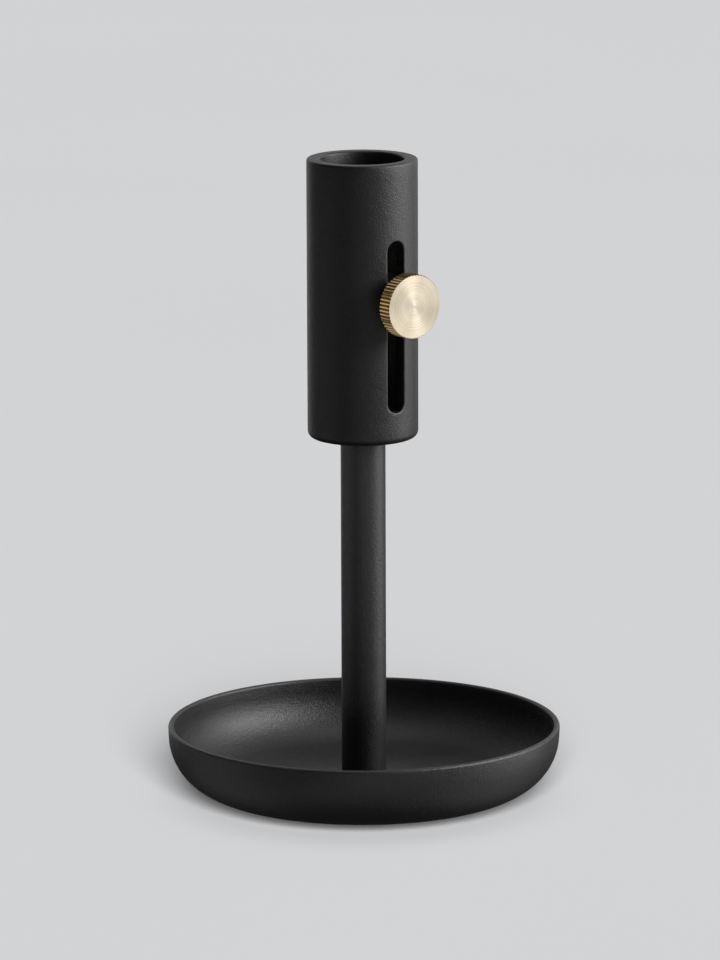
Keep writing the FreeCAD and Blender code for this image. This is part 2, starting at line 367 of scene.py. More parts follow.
def button_outline():
    """From the middle of the socket, over the domed head, and up the shank to its end."""
    face, seat = screw_low.z, screw_low.z + BUTTON_THICK
    edge = seat - BUTTON_EDGE
    run, rise = BUTTON_R - BUTTON_FACE_R, edge - face
    dome = [(BUTTON_FACE_R + run * math.sin(t), edge - rise * math.cos(t))
            for t in (math.pi / 2 * i / 8 for i in range(9))]
    head = [(0, face + HEX_DEPTH), (None, face + HEX_DEPTH), (None, face + HEX_CHAMFER),
            (HEX_CORNER_R + 1.5 * HEX_CHAMFER, face)]
    shank = thread_rows(M4_R, seat + M4_TIP, screw_high.z - M4_TIP, M4_PITCH)
    tip = [(M4_R - M4_TIP, screw_high.z), (0, screw_high.z)]
    return head + dome + [(BUTTON_R, seat), (M4_R, seat)] + shank + tip


plated_zinc = make_plated_zinc()
base_screw = threaded("button_screw", button_outline(), M4_R, M4_PITCH,
                      (screw_low.z + BUTTON_THICK + M4_TIP, screw_high.z))
base_washer = turned("screw_washer", [
    *bend((DISH_HOLE_R + HOLE_ROUND, washer_low.z + HOLE_ROUND), HOLE_ROUND, -math.pi / 2, 0, 3),
    *bend((washer_high.x - RIM_ROUND, washer_low.z + RIM_ROUND), RIM_ROUND, 0, math.pi / 2, 3),
    (washer_high.x, washer_high.z), (DISH_HOLE_R, washer_high.z)], 96)
for part, node in ((base_screw, "base_screw"), (base_washer, "base_washer")):
    part.data.materials.append(plated_zinc)
    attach(part, "base")
    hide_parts(node)

# === Felt ring =========================================================================
# A ring punched from pressed wool felt and glued under the dish, so that the metal never
# touches the table. Its cut edges are a little ragged and its face is slightly matted.

FELT_INNER_R = 19 * MM
FELT_ROWS = 14
FELT_FRAY = 0.12 * MM
FELT_EDGE = 0.25 * MM
FELT_MATTING = 0.06 * MM
FRAYS_PER_METRE = 1900
TUFTS_PER_METRE = 700
FELT_DARK = (0.012, 0.012, 0.013)
FELT_LIGHT = (0.085, 0.083, 0.08)
felt_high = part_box("felt_ring")[1]


def felt_outline():
    """A flat ring with rounded lower edges, and rows of points across both faces."""
    inner, outer = FELT_INNER_R + FELT_FRAY, felt_high.x - FELT_FRAY
    flat = outer - inner - 2 * FELT_EDGE
    across = [inner + FELT_EDGE + flat * i / FELT_ROWS for i in range(1, FELT_ROWS)]
    outline = bend((inner + FELT_EDGE, FELT_EDGE), FELT_EDGE, -math.pi / 2, 0, 3) + [(r, 0) for r in across]
    outline += bend((outer - FELT_EDGE, FELT_EDGE), FELT_EDGE, 0, math.pi / 2, 3)
    return outline + [(r, felt_high.z) for r in (outer, *across[::-1], inner)]


def make_felt():
    """Matted grey fibres with fuzz between them."""
    material, tree, shader, at = new_material("pressed_felt")
    bent = place(tree, "ShaderNodeTexNoise", Vector=at, Scale=900, Detail=2).outputs["Color"]
    drift = place(tree, "ShaderNodeVectorMath", {"operation": "SCALE"}, i0=bent, Scale=0.004).outputs[0]
    along = place(tree, "ShaderNodeVectorMath", {"operation": "ADD"}, i0=at, i1=drift).outputs[0]
    fibres = place(tree, "ShaderNodeTexVoronoi", {"feature": "DISTANCE_TO_EDGE"}, Vector=along,
                   Scale=2600).outputs[0]
    fuzz = place(tree, "ShaderNodeTexNoise", Vector=at, Scale=6000, Detail=4).outputs["Fac"]
    height = added(tree, spread(tree, fibres, 0, 0.2, 0.6, 0), scaled(tree, fuzz, 0.5))
    tree.links.new(blended(tree, height, FELT_DARK, FELT_LIGHT), shader.inputs["Base Color"])
    tree.links.new(spread(tree, fuzz, 0.3, 0.7, 0.88, 1), shader.inputs["Roughness"])
    shader.inputs["Sheen Weight"].default_value = 0.35
    shader.inputs["Sheen Roughness"].default_value = 0.5
    raised(tree, shader, height, 0.12 * MM)
    return material


felt_ring = turned("felt_pad", felt_outline(), 300)
for v in felt_ring.data.vertices:
    radius = math.hypot(v.co.x, v.co.y)
    near_edge = radius < FELT_INNER_R + 2 * FELT_EDGE or radius > felt_high.x - 2 * FELT_EDGE
    fray = noise.noise(v.co * FRAYS_PER_METRE) * FELT_FRAY * 0.9 if near_edge else 0
    v.co.x += v.co.x / radius * fray
    v.co.y += v.co.y / radius * fray
    if v.co.z <= 0:
        v.co.z += max(0, noise.noise(v.co * TUFTS_PER_METRE)) * FELT_MATTING
felt_ring.data.materials.append(make_felt())
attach(felt_ring, "base")
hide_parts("felt_ring")

# === Candle tube =======================================================================
# A thick-walled steel tube, bored for a dinner candle and eased at the mouth. A long
# round-ended slot is milled through its front wall for the knob's stud. All edges are
# broken smooth before the black powder goes on.

TUBE_BOTTOM_ROUND = 2 * MM
TUBE_RIM_OUTSIDE = 0.65 * MM
TUBE_RIM_INSIDE = 0.7 * MM
TUBE_BEVEL = 0.3 * MM
BORE_R = 11.2 * MM
MOUTH_R = 11.4 * MM
MOUTH_DEPTH = 15 * MM
SLOT_HALF = 2.65 * MM
SLOT_ABOVE_FOOT = 8.8 * MM
SLOT_BELOW_RIM = 20.9 * MM
SLOT_EDGE = 0.5 * MM
SLOT_FRAME = 2.4 * MM           # wall beyond the slot that its own rings of faces cover
# Pale grey for the bore below the mouth: painted light in the dim inside.
BORE_PAINTED_LIGHT = (0.16, 0.155, 0.145)
tube_low, tube_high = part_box("candle_tube")
TUBE_R = tube_high.x


def spaced(start, end, count):
    """Even steps from start to end, both included."""
    return [start + (end - start) * i / count for i in range(count + 1)]


class Window:
    """A round-ended opening in the front wall of a turned piece, seen from the front."""

    def __init__(self, low, high, half):
        self.low, self.high, self.half = low + half, high - half, half

    def nearest(self, x, z, offset):
        """The point at an offset outside the opening's edge, straight out towards (x, z)."""
        middle = min(max(z, self.low), self.high)
        away = Vector((x, z - middle)).normalized()
        reach = self.half + offset
        return away.x * reach, middle + away.y * reach


def pierced(name, outline, columns, patch, window, front, back, back_patch=None):
    """Turned work with a window in its front wall.

    columns are the angles of the outline's copies, and how many gaps between them, from the first, lie
    in front. There the outline's points from patch[0] to patch[1] get no faces of their own: rings close
    in on the window instead, round its edge and line its wall. back_patch is the same stretch on the
    inner wall, and without it the window is a blind hole that ends at y = back."""
    angles, inner_columns = columns
    count, turns = len(outline), len(angles)
    points = [Vector((r * math.sin(a), -r * math.cos(a), z)) for a in angles for r, z in outline]
    skip = [patch] + ([back_patch] if back_patch else [])
    faces = []
    for i in range(turns):
        there = (i + 1) % turns
        for j in range(count):
            k = (j + 1) % count
            if i < inner_columns and any(min(p) <= j < max(p) for p in skip):
                continue
            faces.append((i * count + j, there * count + j, there * count + k, i * count + k))

    def border(rows):
        """The points round the stretch that was left out, in order."""
        first, last = rows
        way = 1 if last > first else -1
        walk = [(i, first) for i in range(inner_columns)]
        walk += [(inner_columns, j) for j in range(first, last, way)]
        walk += [(i, last) for i in range(inner_columns, 0, -1)]
        walk += [(0, j) for j in range(last, first, -way)]
        return [i * count + j for i, j in walk]

    def ring_on(radius, start, share, offset, depth):
        """One ring between the border and the window, sunk by a depth, as new points."""
        ring = []
        for index in start:
            p = points[index]
            x, z = window.nearest(p.x, p.z, offset)
            turn = math.atan2(p.x, -p.y) * (1 - share) + math.asin(x / radius) * share
            z = p.z * (1 - share) + z * share
            ring.append(Vector((radius * math.sin(turn), -radius * math.cos(turn) + depth, z)))
        points.extend(ring)
        return list(range(len(points) - len(ring), len(points)))

    def wall(radius, rows, way):
        """Rings over one face of the wall and round the broken edge of the window."""
        start = border(rows)
        rings = [start] + [ring_on(radius, start, share, SLOT_EDGE, 0) for share in (0.3, 0.58, 0.82, 1)]
        for t in spaced(0, math.pi / 2, 5)[1:]:
            offset, depth = SLOT_EDGE * (1 - math.sin(t)), SLOT_EDGE * (1 - math.cos(t))
            rings.append(ring_on(radius, start, 1, offset, way * depth))
        return rings

    rings = wall(front, patch, 1)
    if back_patch:
        rings += wall(back, back_patch, -1)[::-1]
    else:
        floor = [Vector((points[i].x, back, points[i].z)) for i in rings[-1]]
        points.extend(floor)
        rings.append(list(range(len(points) - len(floor), len(points))))
        points.append(Vector((0, back, (window.low + window.high) / 2)))
        rings.append([len(points) - 1] * len(floor))
    for one, other in zip(rings, rings[1:]):
        for i in range(len(one)):
            k = (i + 1) % len(one)
            corners = [one[i], one[k], other[k], other[i]]
            faces.append(tuple(dict.fromkeys(corners)))
    return finished_mesh(name, points, faces)


def columns_round(frame_angle, inside, outside):
    """Angles round a turned piece: close together behind the window, then even round the back."""
    close = spaced(-frame_angle, frame_angle, inside)
    return close + spaced(frame_angle, 2 * math.pi - frame_angle, outside)[1:-1], inside


def tube_outline(rows):
    """The tube's wall in section, up the outside and down the bore, and where the window's rows are."""
    low, high = tube_low.z, tube_high.z
    mouth_end = high - MOUTH_DEPTH
    foot = TUBE_R - TUBE_BOTTOM_ROUND, low + TUBE_BOTTOM_ROUND
    outline = bend(foot, TUBE_BOTTOM_ROUND, 0, math.pi / 2, 8)
    outline += [(TUBE_R, z) for z in spaced(outline[-1][1], rows[0], 2)[1:-1]]
    front = len(outline), len(outline) + len(rows) - 1
    outline += [(TUBE_R, z) for z in rows]
    outline += [(TUBE_R, z) for z in spaced(rows[-1], high - TUBE_RIM_OUTSIDE, 6)[1:-1]]
    outside = TUBE_R - TUBE_RIM_OUTSIDE, high - TUBE_RIM_OUTSIDE
    inside = MOUTH_R + TUBE_RIM_INSIDE, high - TUBE_RIM_INSIDE
    outline += bend(outside, TUBE_RIM_OUTSIDE, math.pi / 2, math.pi, 6)
    outline += bend(inside, TUBE_RIM_INSIDE, math.pi, 1.5 * math.pi, 6)
    outline += [(MOUTH_R, z) for z in spaced(high - TUBE_RIM_INSIDE, mouth_end, 5)[1:]]
    outline += [(BORE_R, mouth_end - (MOUTH_R - BORE_R))]
    back = len(outline) + len(rows) - 1, len(outline)
    outline += [(BORE_R, z) for z in rows[::-1]]
    outline += [(BORE_R, low + TUBE_BEVEL), (BORE_R + TUBE_BEVEL, low)]
    return outline, front, back


def distance_from(tree, at, centre, across):
    """Distance of the shaded place from an axis; across is 1 in the two directions square to it."""
    away = place(tree, "ShaderNodeVectorMath", {"operation": "SUBTRACT"}, i0=at, i1=centre).outputs[0]
    flat = place(tree, "ShaderNodeVectorMath", {"operation": "MULTIPLY"}, i0=away, i1=across).outputs[0]
    return place(tree, "ShaderNodeVectorMath", {"operation": "LENGTH"}, i0=flat).outputs["Value"]


def lighten_bore(material, radius, top):
    """Below the mouth the bore gets a pale grey in place of the black powder: painted light that lifts the
    dim inside seen through the slot.
    """
    tree = material.node_tree
    shader = tree.nodes["Principled BSDF"]
    at = tree.nodes.new("ShaderNodeTexCoord").outputs["Object"]
    inside = spread(tree, distance_from(tree, at, (0, 0, 0), (1, 1, 0)), radius, radius + 0.1 * MM, 1, 0)
    height = place(tree, "ShaderNodeSeparateXYZ", i0=at).outputs["Z"]
    below = spread(tree, height, top - 2 * MM, top, 1, 0)
    mix = place(tree, "ShaderNodeMix", {"data_type": "RGBA"}, Factor=scaled(tree, inside, below))
    tree.links.new(shader.inputs["Base Color"].links[0].from_socket, mix.inputs[6])
    mix.inputs[7].default_value = (*BORE_PAINTED_LIGHT, 1)
    tree.links.new(mix.outputs[2], shader.inputs["Base Color"])


slot_window = Window(tube_low.z + SLOT_ABOVE_FOOT, tube_high.z - SLOT_BELOW_RIM, SLOT_HALF)
slot_rows = spaced(slot_window.low - SLOT_HALF - SLOT_FRAME, slot_window.low, 8)
slot_rows += spaced(slot_window.low, slot_window.high, 18)[1:]
slot_rows += spaced(slot_window.high, slot_window.high + SLOT_HALF + SLOT_FRAME, 8)[1:]
outline, front_rows, back_rows = tube_outline(slot_rows)
slot_columns = columns_round(math.asin((SLOT_HALF + SLOT_FRAME) / TUBE_R), 16, 168)
candle_tube = pierced("slotted_tube", outline, slot_columns, front_rows, slot_window,
                      TUBE_R, BORE_R, back_rows)
tube_coat = make_powder_coat("tube_powder_coat")
# Painted light: the bore below the mouth is paler than the powder.
lighten_bore(tube_coat, BORE_R + 0.05 * MM, tube_high.z - MOUTH_DEPTH)
candle_tube.data.materials.append(tube_coat)
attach(candle_tube, "base")
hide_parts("candle_tube")

# === Tube plug and stem screw ==========================================================
# A steel disc pressed into the foot of the tube, with its edge eased, so that a fine seam
# shows from below. A countersunk M4 screw goes down through it into the stem.

COUNTERSUNK_R = 3.9 * MM
PLUG_HOLE_GAP = 0.1 * MM
PLUG_TOP_BEVEL = 0.2 * MM
plug_low, plug_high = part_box("tube_plug")
stem_screw_low, stem_screw_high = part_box("stem_screw")
cone = COUNTERSUNK_R - M4_R
tube_plug = turned("foot_plug", [
    (M4_R + PLUG_HOLE_GAP, plug_low.z),
    *bend((plug_high.x - TUBE_BEVEL, plug_low.z + TUBE_BEVEL), TUBE_BEVEL, 0, math.pi / 2, 3),
    (plug_high.x, plug_high.z - PLUG_TOP_BEVEL), (plug_high.x - PLUG_TOP_BEVEL, plug_high.z),
    (COUNTERSUNK_R + PLUG_HOLE_GAP, plug_high.z), (M4_R + PLUG_HOLE_GAP, plug_high.z - cone)], 96)
tube_plug.data.materials.append(powder_coat)
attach(tube_plug, "base")
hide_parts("tube_plug")

top, foot = stem_screw_high.z, stem_screw_low.z
stem_screw = threaded("countersunk_screw", [
    (0, foot), (M4_R - M4_TIP, foot), *thread_rows(M4_R, foot + M4_TIP, top - cone - M4_TIP, M4_PITCH),
    (M4_R, top - cone), (COUNTERSUNK_R, top - 0.02 * MM), (COUNTERSUNK_R - 0.05 * MM, top),
    (HEX_CORNER_R + 1.25 * HEX_CHAMFER, top), (None, top - HEX_CHAMFER), (None, top - HEX_DEPTH),
    (0, top - HEX_DEPTH)], M4_R, M4_PITCH, (foot, top - cone - M4_TIP))
stem_screw.data.materials.append(plated_zinc)
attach(stem_screw, "base")
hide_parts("stem_screw")

# === Candle platform ===================================================================
# A piston turned from steel bar, which slides in the tube and carries the candle in a
# shallow seat. It keeps its tool marks under the zinc, and has a tapped hole in front.

PLATFORM_BEVEL = 0.6 * MM
SEAT_R = 9.6 * MM
SEAT_DEPTH = 0.8 * MM
STUD_HOLE_R = 2.55 * MM
HOLE_END = -4.15 * MM           # bottom of the tapped hole, along Y
HOLE_FRAME = 4 * MM             # from the hole's centre to the edge of its own rings of faces
SEAT_EDGE = 0.1 * MM
STEEL_DARK = (0.42, 0.42, 0.41)
STEEL_LIGHT = (0.68, 0.68, 0.66)
platform_low, platform_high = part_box("candle_platform")
PLATFORM_R = platform_high.x
KNOB_Z = (platform_low.z + platform_high.z) / 2


def platform_outline(rows):
    """From the middle of the foot, up the side and over the edge, to the middle of the seat."""
    low, high = platform_low.z, platform_high.z
    outline = [(0, low), (PLATFORM_R - PLATFORM_BEVEL, low), (PLATFORM_R, low + PLATFORM_BEVEL)]
    front = len(outline), len(outline) + len(rows) - 1
    outline += [(PLATFORM_R, z) for z in rows]
    outline += [(PLATFORM_R, high - PLATFORM_BEVEL), (PLATFORM_R - PLATFORM_BEVEL, high),
                (SEAT_R + SEAT_EDGE, high), (SEAT_R - SEAT_EDGE, high - SEAT_EDGE),
                (SEAT_R - SEAT_DEPTH, high - SEAT_DEPTH), (0, high - SEAT_DEPTH)]
    return outline, front


def make_tool_marks():
    """Rings that a lathe tool leaves: fine lines by distance from the axis, some deeper than others."""
    tree, given, out = effect("tool_marks", {"Radius": 0, "Lines per Metre": 9000}, ("Height", "Tone"))
    lines = scaled(tree, given["Radius"], given["Lines per Metre"])
    fine = place(tree, "ShaderNodeTexNoise", {"noise_dimensions": "1D"}, W=lines, Scale=1,
                 Detail=3, Roughness=0.7).outputs["Fac"]
    broad = place(tree, "ShaderNodeTexNoise", {"noise_dimensions": "1D"}, W=scaled(tree, lines, 0.16),
                  Scale=1, Detail=2).outputs["Fac"]
    wander = place(tree, "ShaderNodeTexNoise", Vector=given["Place"], Scale=260, Detail=2).outputs["Fac"]
    tree.links.new(added(tree, scaled(tree, fine, 0.6), scaled(tree, broad, 0.4)), out["Height"])
    tree.links.new(added(tree, added(tree, scaled(tree, fine, 0.45), scaled(tree, broad, 0.35)),
                         scaled(tree, wander, 0.2)), out["Tone"])
    return tree


tool_marks = make_tool_marks()


def make_turned_steel():
    """Satin steel with the tool's rings about the tube's axis."""
    material, tree, shader, at = new_material("turned_steel")
    radius = distance_from(tree, at, (0, 0, 0), (1, 1, 0))
    marks = use_group(tree, tool_marks, Place=at, Radius=radius, Lines_per_Metre=7000)
    tree.links.new(blended(tree, marks["Tone"], STEEL_DARK, STEEL_LIGHT), shader.inputs["Base Color"])
    tree.links.new(spread(tree, marks["Tone"], 0.3, 0.7, 0.3, 0.42), shader.inputs["Roughness"])
    shader.inputs["Metallic"].default_value = 1
    raised(tree, shader, marks["Height"], 0.01 * MM)
    return material


hole_window = Window(KNOB_Z - STUD_HOLE_R, KNOB_Z + STUD_HOLE_R, STUD_HOLE_R)
outline, front_rows = platform_outline(spaced(KNOB_Z - HOLE_FRAME, KNOB_Z + HOLE_FRAME, 16))
hole_columns = columns_round(math.asin(HOLE_FRAME / PLATFORM_R), 16, 120)
candle_platform = pierced("lifting_platform", outline, hole_columns, front_rows, hole_window,
                          PLATFORM_R, HOLE_END)
candle_platform.data.materials.append(make_turned_steel())
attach(candle_platform, "platform")
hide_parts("candle_platform")

# === Clamp washer ======================================================================
# A nylon washer between the knob's neck and the tube. Its back is hollowed to fit round the
# tube, so that it spares the powder coat when the knob is tightened. It is moulded in black,
# with rounded edges and a faint gloss.

WASHER_EDGE = 0.18 * MM
WASHER_HOLE_R = 2.6 * MM
SADDLE_R = TUBE_R + 0.035 * MM
NYLON_DARK = (0.012, 0.012, 0.012)
NYLON_LIGHT = (0.03, 0.03, 0.03)
nylon_low, nylon_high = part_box("clamp_washer")


def to_knob_axis(piece):
    """Turn a piece made along Z, with its height counted from the tube's axis, to face -Y at the knob."""
    piece.data.transform(Matrix.Translation((0, 0, KNOB_Z)) @ Matrix.Rotation(math.pi / 2, 4, "X"))
    return piece


def make_nylon():
    """Moulded black plastic with the faint unevenness of its mould."""
    material, tree, shader, at = new_material("black_nylon")
    cast = place(tree, "ShaderNodeTexNoise", Vector=at, Scale=2500, Detail=3).outputs["Fac"]
    tree.links.new(blended(tree, cast, NYLON_DARK, NYLON_LIGHT), shader.inputs["Base Color"])
    tree.links.new(spread(tree, cast, 0.3, 0.7, 0.38, 0.5), shader.inputs["Roughness"])
    raised(tree, shader, cast, 0.01 * MM)
    return material


def make_saddle_washer():
    """A plain washer, whose inner face is then moved onto the tube's roundness."""
    front, back = -nylon_low.y, SADDLE_R
    inner, outer = WASHER_HOLE_R + WASHER_EDGE, nylon_high.x - WASHER_EDGE
    across = spaced(inner, outer, 6)[1:-1]
    ring = bend((inner, back + WASHER_EDGE), WASHER_EDGE, -math.pi / 2, 0, 3)
    ring += [(r, back) for r in across]
    ring += bend((outer, back + WASHER_EDGE), WASHER_EDGE, 0, math.pi / 2, 3)
    ring += bend((outer, front - WASHER_EDGE), WASHER_EDGE, math.pi / 2, math.pi, 3)
    ring += bend((inner, front - WASHER_EDGE), WASHER_EDGE, math.pi, 1.5 * math.pi, 3)
    washer = turned("nylon_washer", ring, 96)
    for v in washer.data.vertices:
        if v.co.z < (front + back) / 2:
            v.co.z -= SADDLE_R - math.sqrt(SADDLE_R ** 2 - v.co.x ** 2)
    return to_knob_axis(washer)


clamp_washer = make_saddle_washer()
clamp_washer.data.materials.append(make_nylon())
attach(clamp_washer, "clamp")
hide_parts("clamp_washer")

# === Knob ==============================================================================
# A thumb knob turned from brass bar: a head with a straight knurl round its edge, a flat
# face that keeps the rings of the lathe tool, and a plain neck behind. It is not
# lacquered. Its knurl gets darker, warmer brass and its grooves far darker: painted shade.

TEETH = 54
TOOTH_DEPTH = 0.36 * MM
STEPS_PER_TOOTH = 6
CREST_SHARE = 1 / 3             # part of a tooth that keeps the head's full radius
FACE_BREAK = 0.16 * MM
HEAD_THICK = 4.1 * MM
NECK_R = 4 * MM
NECK_BEVEL = 0.2 * MM
NECK_FILLET = 0.3 * MM
KNOB_BORE_R = 2.5 * MM
KNOB_BORE_END = 1.4 * MM
BRASS_DARK = (0.56, 0.46, 0.31)
BRASS_LIGHT = (0.92, 0.84, 0.70)
# Painted shade: the knurl's crests, and darker still its grooves.
CREST_PAINTED_SHADE = (0.66, 0.48, 0.23)
GROOVE_PAINTED_SHADE = (0.20, 0.12, 0.045)
knob_low, knob_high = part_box("knob")
HEAD_R = knob_high.x
KNOB_FACE = -knob_low.y
KNOB_BACK = -knob_high.y


def tooth(step):
    """Depth of the knurl below its crest at a step round the head."""
    along = abs((step % STEPS_PER_TOOTH) / STEPS_PER_TOOTH * 2 - 1)
    return TOOTH_DEPTH * max(0, 1 - along - CREST_SHARE) / (1 - CREST_SHARE)


def knob_rows():
    """Rows of (radius, height, knurled or not) from the bore's mouth over the head to the face's centre."""
    head_back = KNOB_FACE - HEAD_THICK
    bore_end = KNOB_FACE - KNOB_BORE_END
    plain = [(0, bore_end), (KNOB_BORE_R, bore_end), (KNOB_BORE_R, KNOB_BACK + NECK_BEVEL),
             (KNOB_BORE_R + NECK_BEVEL, KNOB_BACK), (NECK_R - NECK_BEVEL, KNOB_BACK),
             (NECK_R, KNOB_BACK + NECK_BEVEL)]
    plain += bend((NECK_R + NECK_FILLET, head_back - NECK_FILLET), NECK_FILLET, 1.5 * math.pi, math.pi, 4)
    plain += [(HEAD_R * share, head_back) for share in (0.62, 0.78, 0.92)]
    rows = [(r, z, False) for r, z in plain]
    for t in spaced(0, 1, 3):
        rows.append((HEAD_R - FACE_BREAK * (1 - t), head_back + FACE_BREAK * t, True))
    rows += [(HEAD_R, z, True) for z in spaced(head_back + FACE_BREAK, KNOB_FACE - FACE_BREAK, 6)[1:]]
    for t in spaced(0, 1, 3)[1:]:
        rows.append((HEAD_R - FACE_BREAK * t, KNOB_FACE - FACE_BREAK * (1 - t), True))
    rows += [(HEAD_R * share, KNOB_FACE, False) for share in (0.92, 0.8, 0.65, 0.5, 0.35, 0.2, 0.08)]
    return rows + [(0, KNOB_FACE, False)]


def make_knob():
    """The rows set round the axis, with the knurled ones cut down between the crests."""
    rows, steps = knob_rows(), TEETH * STEPS_PER_TOOTH
    points = []
    for i in range(steps):
        angle = 2 * math.pi * i / steps
        for r, z, knurled in rows:
            r = min(r, HEAD_R - tooth(i)) if knurled else r
            points.append((r * math.sin(angle), -r * math.cos(angle), z))
    faces = faces_round(len(rows), steps, len(rows) - 1)
    return to_knob_axis(finished_mesh("thumb_knob", points, faces, crease=30))


def make_turned_brass():
    """Bare turned brass: rings on the face, and painted shade on the knurl, darkest in its grooves."""
    material, tree, shader, at = new_material("turned_brass")
    radius = distance_from(tree, at, (0, 0, KNOB_Z), (1, 0, 1))
    marks = use_group(tree, tool_marks, Place=at, Radius=radius, Lines_per_Metre=2600)
    bright = blended(tree, spread(tree, marks["Tone"], 0.3, 0.7, 0, 1), BRASS_DARK, BRASS_LIGHT)
    # Painted shade over the knurled band: warmer, darker brass on the crests and near black in the grooves.
    groove_shade = spread(tree, radius, HEAD_R - TOOTH_DEPTH, HEAD_R - 0.3 * TOOTH_DEPTH, 1, 0)
    depth = place(tree, "ShaderNodeSeparateXYZ", i0=at).outputs["Y"]
    beside = spread(tree, depth, -(KNOB_FACE - 0.12 * MM), -(KNOB_FACE - 0.02 * MM), 1, 0)
    edge = spread(tree, radius, HEAD_R - TOOTH_DEPTH - 0.08 * MM, HEAD_R - TOOTH_DEPTH - 0.02 * MM, 0, 1)
    mix = place(tree, "ShaderNodeMix", {"data_type": "RGBA"}, Factor=scaled(tree, beside, edge))
    tree.links.new(bright, mix.inputs[6])
    knurl = blended(tree, groove_shade, CREST_PAINTED_SHADE, GROOVE_PAINTED_SHADE)
    tree.links.new(knurl, mix.inputs[7])
    tree.links.new(mix.outputs[2], shader.inputs["Base Color"])
    tree.links.new(spread(tree, marks["Tone"], 0.3, 0.7, 0.34, 0.44), shader.inputs["Roughness"])
    shader.inputs["Metallic"].default_value = 1
    shader.inputs["Anisotropic"].default_value = 0.85
    shader.inputs["Anisotropic Rotation"].default_value = 0.25
    round_axis = place(tree, "ShaderNodeTangent", {"direction_type": "RADIAL", "axis": "Y"}).outputs[0]
    tree.links.new(round_axis, shader.inputs["Tangent"])
    raised(tree, shader, marks["Height"], 0.02 * MM)
    return material


turned_brass = make_turned_brass()
knob = make_knob()
knob.data.materials.append(turned_brass)
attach(knob, "knob")
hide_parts("knob")

# === Knob stud =========================================================================
# An M5 set screw that joins the knob to the platform: locked in the knob, and free to
# screw in and out of the platform. It has a hexagon socket in its inner end.

M5_R = 2.48 * MM
M5_PITCH = 0.8 * MM
M5_TIP = 0.5 * MM
STUD_SOCKET = 2 * HEX_DEPTH
stud_low, stud_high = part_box("knob_stud")
inner_end, outer_end = -stud_high.y, -stud_low.y
knob_stud = to_knob_axis(threaded("set_screw", [
    (0, inner_end + STUD_SOCKET), (None, inner_end + STUD_SOCKET), (None, inner_end + HEX_CHAMFER),
    (HEX_CORNER_R + 1.5 * HEX_CHAMFER, inner_end), (M5_R - M5_TIP, inner_end),
    *thread_rows(M5_R, inner_end + M5_TIP, outer_end - M5_TIP, M5_PITCH),
    (M5_R - M5_TIP, outer_end), (0, outer_end)], M5_R, M5_PITCH, (inner_end, outer_end)))
knob_stud.data.materials.append(plated_zinc)
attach(knob_stud, "knob")
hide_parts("knob_stud")

# === Camera ============================================================================
# A long lens looks down on it from a little above. The knob faces 37.5 degrees to the
# right of the camera.

CAMERA_TURN = math.radians(-37.5)
CAMERA_DISTANCE = 1.7066
CAMERA_HEIGHT = 0.4476
CAMERA_DOWN = 0.2075            # below level, in radians, as are the next two
CAMERA_YAW = -0.0005
CAMERA_ROLL = -0.0036
LENS = 241.1

ahead = Vector((-math.sin(CAMERA_TURN), math.cos(CAMERA_TURN), 0))
to_right = Vector((ahead.y, -ahead.x, 0))


def towards(right_of_ahead, up):
    """Direction by its angle to the right of the camera's and above the horizon, in degrees."""
    turn, lift = math.radians(right_of_ahead), math.radians(up)
    level = ahead * math.cos(turn) + to_right * math.sin(turn)
    return level * math.cos(lift) + Vector((0, 0, math.sin(lift)))


camera = bpy.data.objects.new("camera", bpy.data.cameras.new("camera"))
bpy.context.scene.collection.objects.link(camera)
looking = towards(math.degrees(CAMERA_YAW), -math.degrees(CAMERA_DOWN))
level_right = looking.cross(Vector((0, 0, 1))).normalized()
up = level_right.cross(looking)
rolled_right = level_right * math.cos(CAMERA_ROLL) + up * math.sin(CAMERA_ROLL)
rolled_up = up * math.cos(CAMERA_ROLL) - level_right * math.sin(CAMERA_ROLL)
axes = Matrix((rolled_right, rolled_up, -looking)).transposed().to_4x4()
camera.matrix_world = Matrix.Translation(-ahead * CAMERA_DISTANCE + Vector((0, 0, CAMERA_HEIGHT))) @ axes
camera.data.lens = LENS
camera.data.clip_end = 60
bpy.context.scene.camera = camera

# === Floor and studio light ============================================================
# A pale seamless floor under a soft light of its own. The black metal is lit apart from
# it, by a large softbox on the right and faint ones elsewhere, and keeps a dim left side.
# The knob has lamps that reach nothing else. Heights and distances are in metres.

FLOOR_SIZE = 40
FLOOR_TONE = (0.795, 0.80, 0.81)
AMBIENT, BACKDROP = 0.02, 0.64
SOFTBOX_DISTANCE = 0.6
TABLE_LAMP_DISTANCE = 0.45
floor_mesh = bpy.data.meshes.new("floor")
half = FLOOR_SIZE / 2
corners = [(-half, -half, 0), (half, -half, 0), (half, half, 0), (-half, half, 0)]
floor_mesh.from_pydata(corners, [], [(0, 1, 2, 3)])
floor = bpy.data.objects.new("floor", floor_mesh)
bpy.context.scene.collection.objects.link(floor)
floor.visible_glossy = False    # black flags keep the bright floor out of the metal
floor.visible_diffuse = False
floor.visible_shadow = False
floor_paint, tree, shader, at = new_material("floor_paint")
cloud = place(tree, "ShaderNodeTexNoise", Vector=at, Scale=6, Detail=2).outputs["Fac"]
tree.links.new(spread(tree, cloud, 0.3, 0.7, 0.85, 0.95), shader.inputs["Roughness"])
shader.inputs["Base Color"].default_value = (*FLOOR_TONE, 1)
shader.inputs["Specular IOR Level"].default_value = 0.1
floor.data.materials.append(floor_paint)


def group(name, *pieces):
    """Pieces that a light reaches, or that cast shadows in it, while it passes by the others."""
    collection = bpy.data.collections.new(name)
    for piece in pieces:
        collection.objects.link(piece)
    return collection


only_floor = group("only_floor", floor)
only_knob = group("only_knob", knob)
low_pieces = group("low_pieces", drip_dish, felt_ring, stem, base_screw, base_washer)
high_pieces = group("high_pieces", candle_tube, tube_plug, stem_screw, candle_platform, clamp_washer,
                    knob_stud)
both = group("dark_pieces", *low_pieces.objects, *high_pieces.objects)
dish_alone = group("dish_alone", drip_dish, felt_ring)

